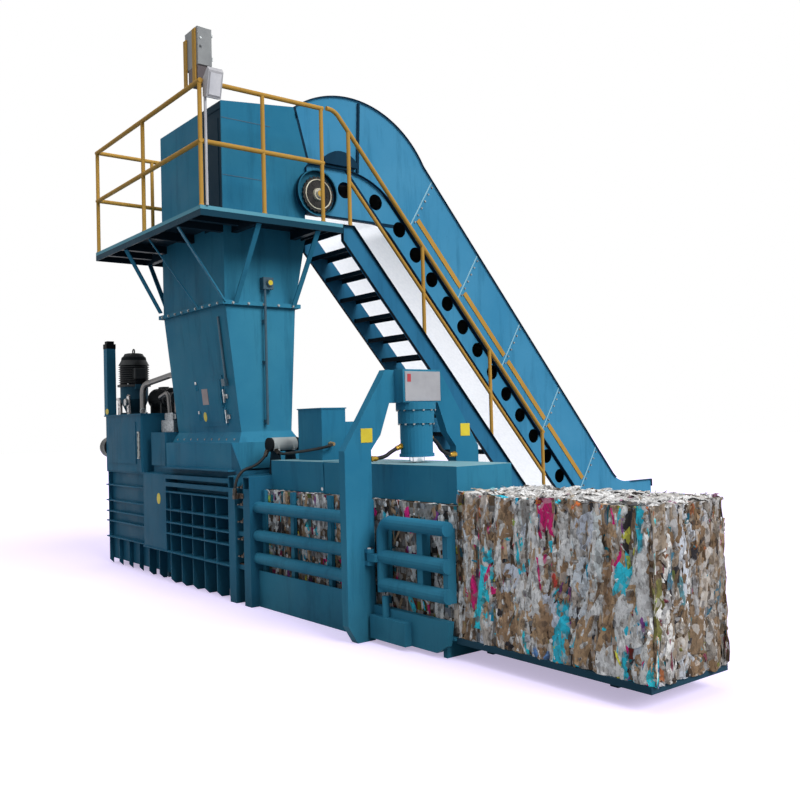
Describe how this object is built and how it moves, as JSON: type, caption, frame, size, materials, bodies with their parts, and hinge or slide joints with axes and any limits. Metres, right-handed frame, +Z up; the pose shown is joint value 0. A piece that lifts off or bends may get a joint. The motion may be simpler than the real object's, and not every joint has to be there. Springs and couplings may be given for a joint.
{
  "type": "recycling baler",
  "caption": "Horizontal channel baler for waste paper with a cleated feed conveyor, tall hopper shaft, railed platform, stair, tension portal and a pressed bale on its outfeed tray.",
  "frame": {"origin": "on the floor, under the middle of the hopper, on the centre line of the press channel", "axes": "+X the way the bale leaves the press, +Y towards the foot of the conveyor, +Z up"},
  "size_m": [7.964, 6.9, 5.135],
  "materials": {
    "teal_paint": "satin",
    "ochre_paint": "satin",
    "grey_paint": "satin",
    "black_paint": "satin",
    "pale_sheet": "satin",
    "bare_steel": "satin",
    "chrome_rod": "polished",
    "belt_rubber": "matt",
    "hose_rubber": "matt",
    "pressed_paper": "rough"
  },
  "bodies": {
    "frame": {"belly_pan": "pale_sheet", "cage_far": "teal_paint", "cage_near": "teal_paint", "channel_bale": "pressed_paper", "cleated_belt": "belt_rubber", "control_cabinet": "grey_paint", "conveyor_beam_front": "teal_paint", "conveyor_beam_rear": "teal_paint", "conveyor_bearings": "black_paint", "drive_gearmotor": "black_paint", "drive_guard": "teal_paint", "feed_box": "teal_paint", "finished_bale": "pressed_paper", "floodlight": "grey_paint", "forward_base": "teal_paint", "guard_strips": "ochre_paint", "hatch_fittings": "bare_steel", "head_cover": "black_paint", "hopper_band": "teal_paint", "hopper_shaft": "teal_paint", "hydraulic_pipes": "bare_steel", "main_barrel": "teal_paint", "oil_cooler": "black_paint", "oil_tank": "teal_paint", "outfeed_tray": "teal_paint", "pivot_pins": "bare_steel", "platform_deck": "teal_paint", "platform_struts": "teal_paint", "portal_frame": "teal_paint", "press_chamber": "teal_paint", "pump_motor": "black_paint", "rail_ends": "ochre_paint", "rail_near": "ochre_paint", "rear_frame": "teal_paint", "riser_mast": "teal_paint", "roof_beam": "teal_paint", "shaft_sensors": "grey_paint", "side_boards": "teal_paint", "side_pump": "black_paint", "stair_flight": "teal_paint", "stair_rail": "ochre_paint", "stair_treads": "teal_paint", "tension_barrel": "teal_paint", "tension_hoses": "hose_rubber", "throat_box": "teal_paint", "tier_drive": "bare_steel", "tying_frame": "teal_paint", "valve_box": "teal_paint", "valve_manifold": "bare_steel", "valve_stand": "teal_paint"},
    "ram": {"press_ram": "teal_paint", "main_rod": "chrome_rod"},
    "platen": {"top_platen": "teal_paint"},
    "tension_piston": {"tension_rod": "chrome_rod"},
    "door_near": {"squeeze_door_near": "teal_paint"},
    "door_far": {"squeeze_door_far": "teal_paint"},
    "hatch": {"shaft_hatch": "teal_paint"},
    "panel": {"cabinet_door": "grey_paint"},
    "head_drum": {"head_shaft": "bare_steel"},
    "tail_drum": {"tail_shaft": "bare_steel"}
  },
  "joints": [
    {"name": "ram_slide", "type": "slide", "parent": "frame", "child": "ram", "axis": [1, 0, 0], "range_m": [0, 1.35]},
    {"name": "platen_hinge", "type": "hinge", "parent": "frame", "child": "platen", "pos_m": [2.105, 0, 1.065], "axis": [0, -1, 0], "range_deg": [0, 2]},
    {"name": "tension_slide", "type": "slide", "parent": "frame", "child": "tension_piston", "axis": [0, 0, 1], "range_m": [0, 0.03235]},
    {"name": "door_near_hinge", "type": "hinge", "parent": "frame", "child": "door_near", "pos_m": [3.035, -0.475, 0.62], "axis": [0, 0, -1], "range_deg": [0, 4]},
    {"name": "door_far_hinge", "type": "hinge", "parent": "frame", "child": "door_far", "pos_m": [3.035, 0.475, 0.62], "axis": [0, 0, 1], "range_deg": [0, 4]},
    {"name": "hatch_hinge", "type": "hinge", "parent": "frame", "child": "hatch", "pos_m": [-0.112, -0.2829, 1.5485], "axis": [0, 0.1152, -0.9933], "range_deg": [0, 110]},
    {"name": "cabinet_hinge", "type": "hinge", "parent": "frame", "child": "panel", "pos_m": [1.195, -0.743, 4.96], "axis": [0, 0, 1], "range_deg": [0, 100]},
    {"name": "head_spin", "type": "hinge", "parent": "frame", "child": "head_drum", "pos_m": [0, 0.62, 3.93], "axis": [1, 0, 0], "continuous": true},
    {"name": "tail_spin", "type": "hinge", "parent": "frame", "child": "tail_drum", "pos_m": [0, 5.85, 0.13], "axis": [1, 0, 0], "continuous": true}
  ],
  "couplings": [
    {"joint": "tension_slide", "follows": "platen_hinge", "m_per_rad": 0.9265},
    {"joint": "tail_spin", "follows": "head_spin", "ratio": 2}
  ]
}
